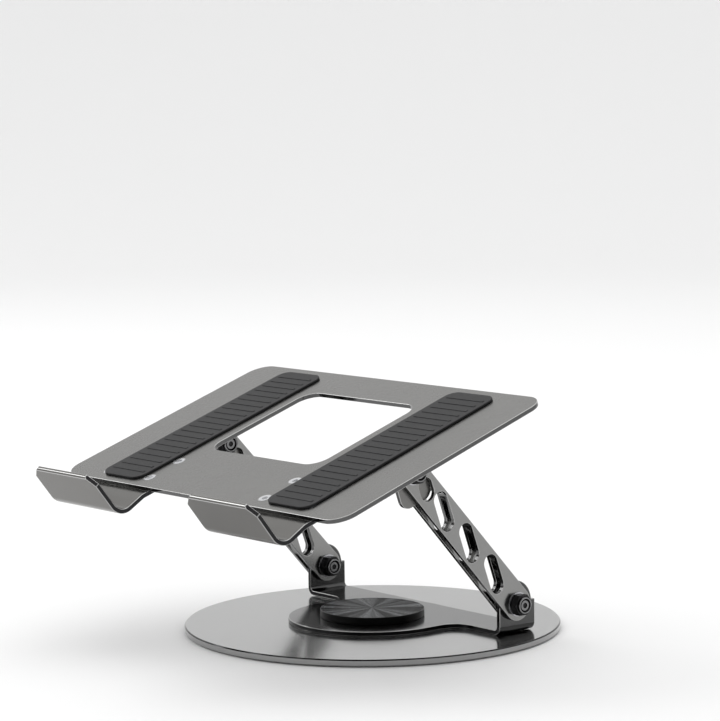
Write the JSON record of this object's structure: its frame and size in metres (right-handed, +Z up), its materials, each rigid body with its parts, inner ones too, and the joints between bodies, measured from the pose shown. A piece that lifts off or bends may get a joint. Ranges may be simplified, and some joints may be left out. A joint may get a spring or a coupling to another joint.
{
  "type": "laptop stand",
  "caption": "Folding metal laptop stand: a tilting tray with two front hooks on double-walled slotted arms, which rise from a yoke that swivels on a round base plate",
  "frame": {"origin": "Centre of the round base plate, on the surface that the stand rests on", "axes": "+X to the right of the person in front, +Y from that person towards the back, +Z up; drawn raised, with the yoke facing forward"},
  "size_m": [0.288, 0.3152, 0.1637],
  "materials": {
    "base_metal": "satin gunmetal grey, bright polished edge",
    "sheet_metal": "satin gunmetal grey with bright cut edges",
    "cap_black": "black, spun top with fine rings",
    "fastener_black": "blackened steel, bright collar",
    "plated_steel": "bright zinc plate",
    "acetal": "natural white, low friction",
    "friction_black": "dark filled plastic",
    "silicone": "matt black, soft"
  },
  "bodies": {
    "base": {"base_plate": "base_metal", "foot_ring": "silicone", "centre_pad": "silicone", "spindle": "plated_steel", "slip_ring": "acetal", "hub_washer": "plated_steel", "hub_spring": "plated_steel", "hub_nut": "plated_steel"},
    "swivel": {"swivel_yoke": "sheet_metal", "hub_bush": "acetal", "hub_cap": "cap_black", "cap_screws": "plated_steel"},
    "right_arm": {"right_arm": "sheet_metal", "right_lower_bolt": "fastener_black", "right_lower_nut": "fastener_black", "right_lower_friction": "friction_black", "right_lower_spring": "plated_steel"},
    "left_arm": {"left_arm": "sheet_metal", "left_lower_bolt": "fastener_black", "left_lower_nut": "fastener_black", "left_lower_friction": "friction_black", "left_lower_spring": "plated_steel"},
    "tray_pivots": {"right_upper_bolt": "fastener_black", "right_upper_nut": "fastener_black", "right_upper_friction": "friction_black", "right_upper_spring": "plated_steel", "left_upper_bolt": "fastener_black", "left_upper_nut": "fastener_black", "left_upper_friction": "friction_black", "left_upper_spring": "plated_steel"},
    "tray": {"tray_plate": "sheet_metal", "right_hinge": "sheet_metal", "left_hinge": "sheet_metal", "hinge_rivets": "plated_steel", "right_hook": "sheet_metal", "left_hook": "sheet_metal", "hook_rivets": "plated_steel", "right_tray_pad": "silicone", "left_tray_pad": "silicone", "right_lip_pad": "silicone", "left_lip_pad": "silicone"}
  },
  "joints": [
    {"name": "base_swivel", "type": "hinge", "parent": "base", "child": "swivel", "pos_m": [0, 0, 0.0054], "axis": [0, 0, 1], "continuous": true},
    {"name": "arm_raise", "type": "hinge", "parent": "swivel", "child": "right_arm", "pos_m": [0.0965, 0.0375, 0.025], "axis": [-1, 0, 0], "range_deg": [-45, 43]},
    {"name": "left_arm_raise", "type": "hinge", "parent": "swivel", "child": "left_arm", "pos_m": [-0.0965, 0.0375, 0.025], "axis": [-1, 0, 0], "range_deg": [-45, 43]},
    {"name": "tray_level", "type": "hinge", "parent": "right_arm", "child": "tray_pivots", "pos_m": [0.0965, -0.05116, 0.12008], "axis": [-1, 0, 0], "range_deg": [-43, 45]},
    {"name": "tray_tilt", "type": "hinge", "parent": "tray_pivots", "child": "tray", "pos_m": [0.0965, -0.05116, 0.12008], "axis": [1, 0, 0], "range_deg": [-19, 26]}
  ],
  "couplings": [
    {"joint": "left_arm_raise", "follows": "arm_raise", "ratio": 1},
    {"joint": "tray_level", "follows": "arm_raise", "ratio": -1}
  ]
}
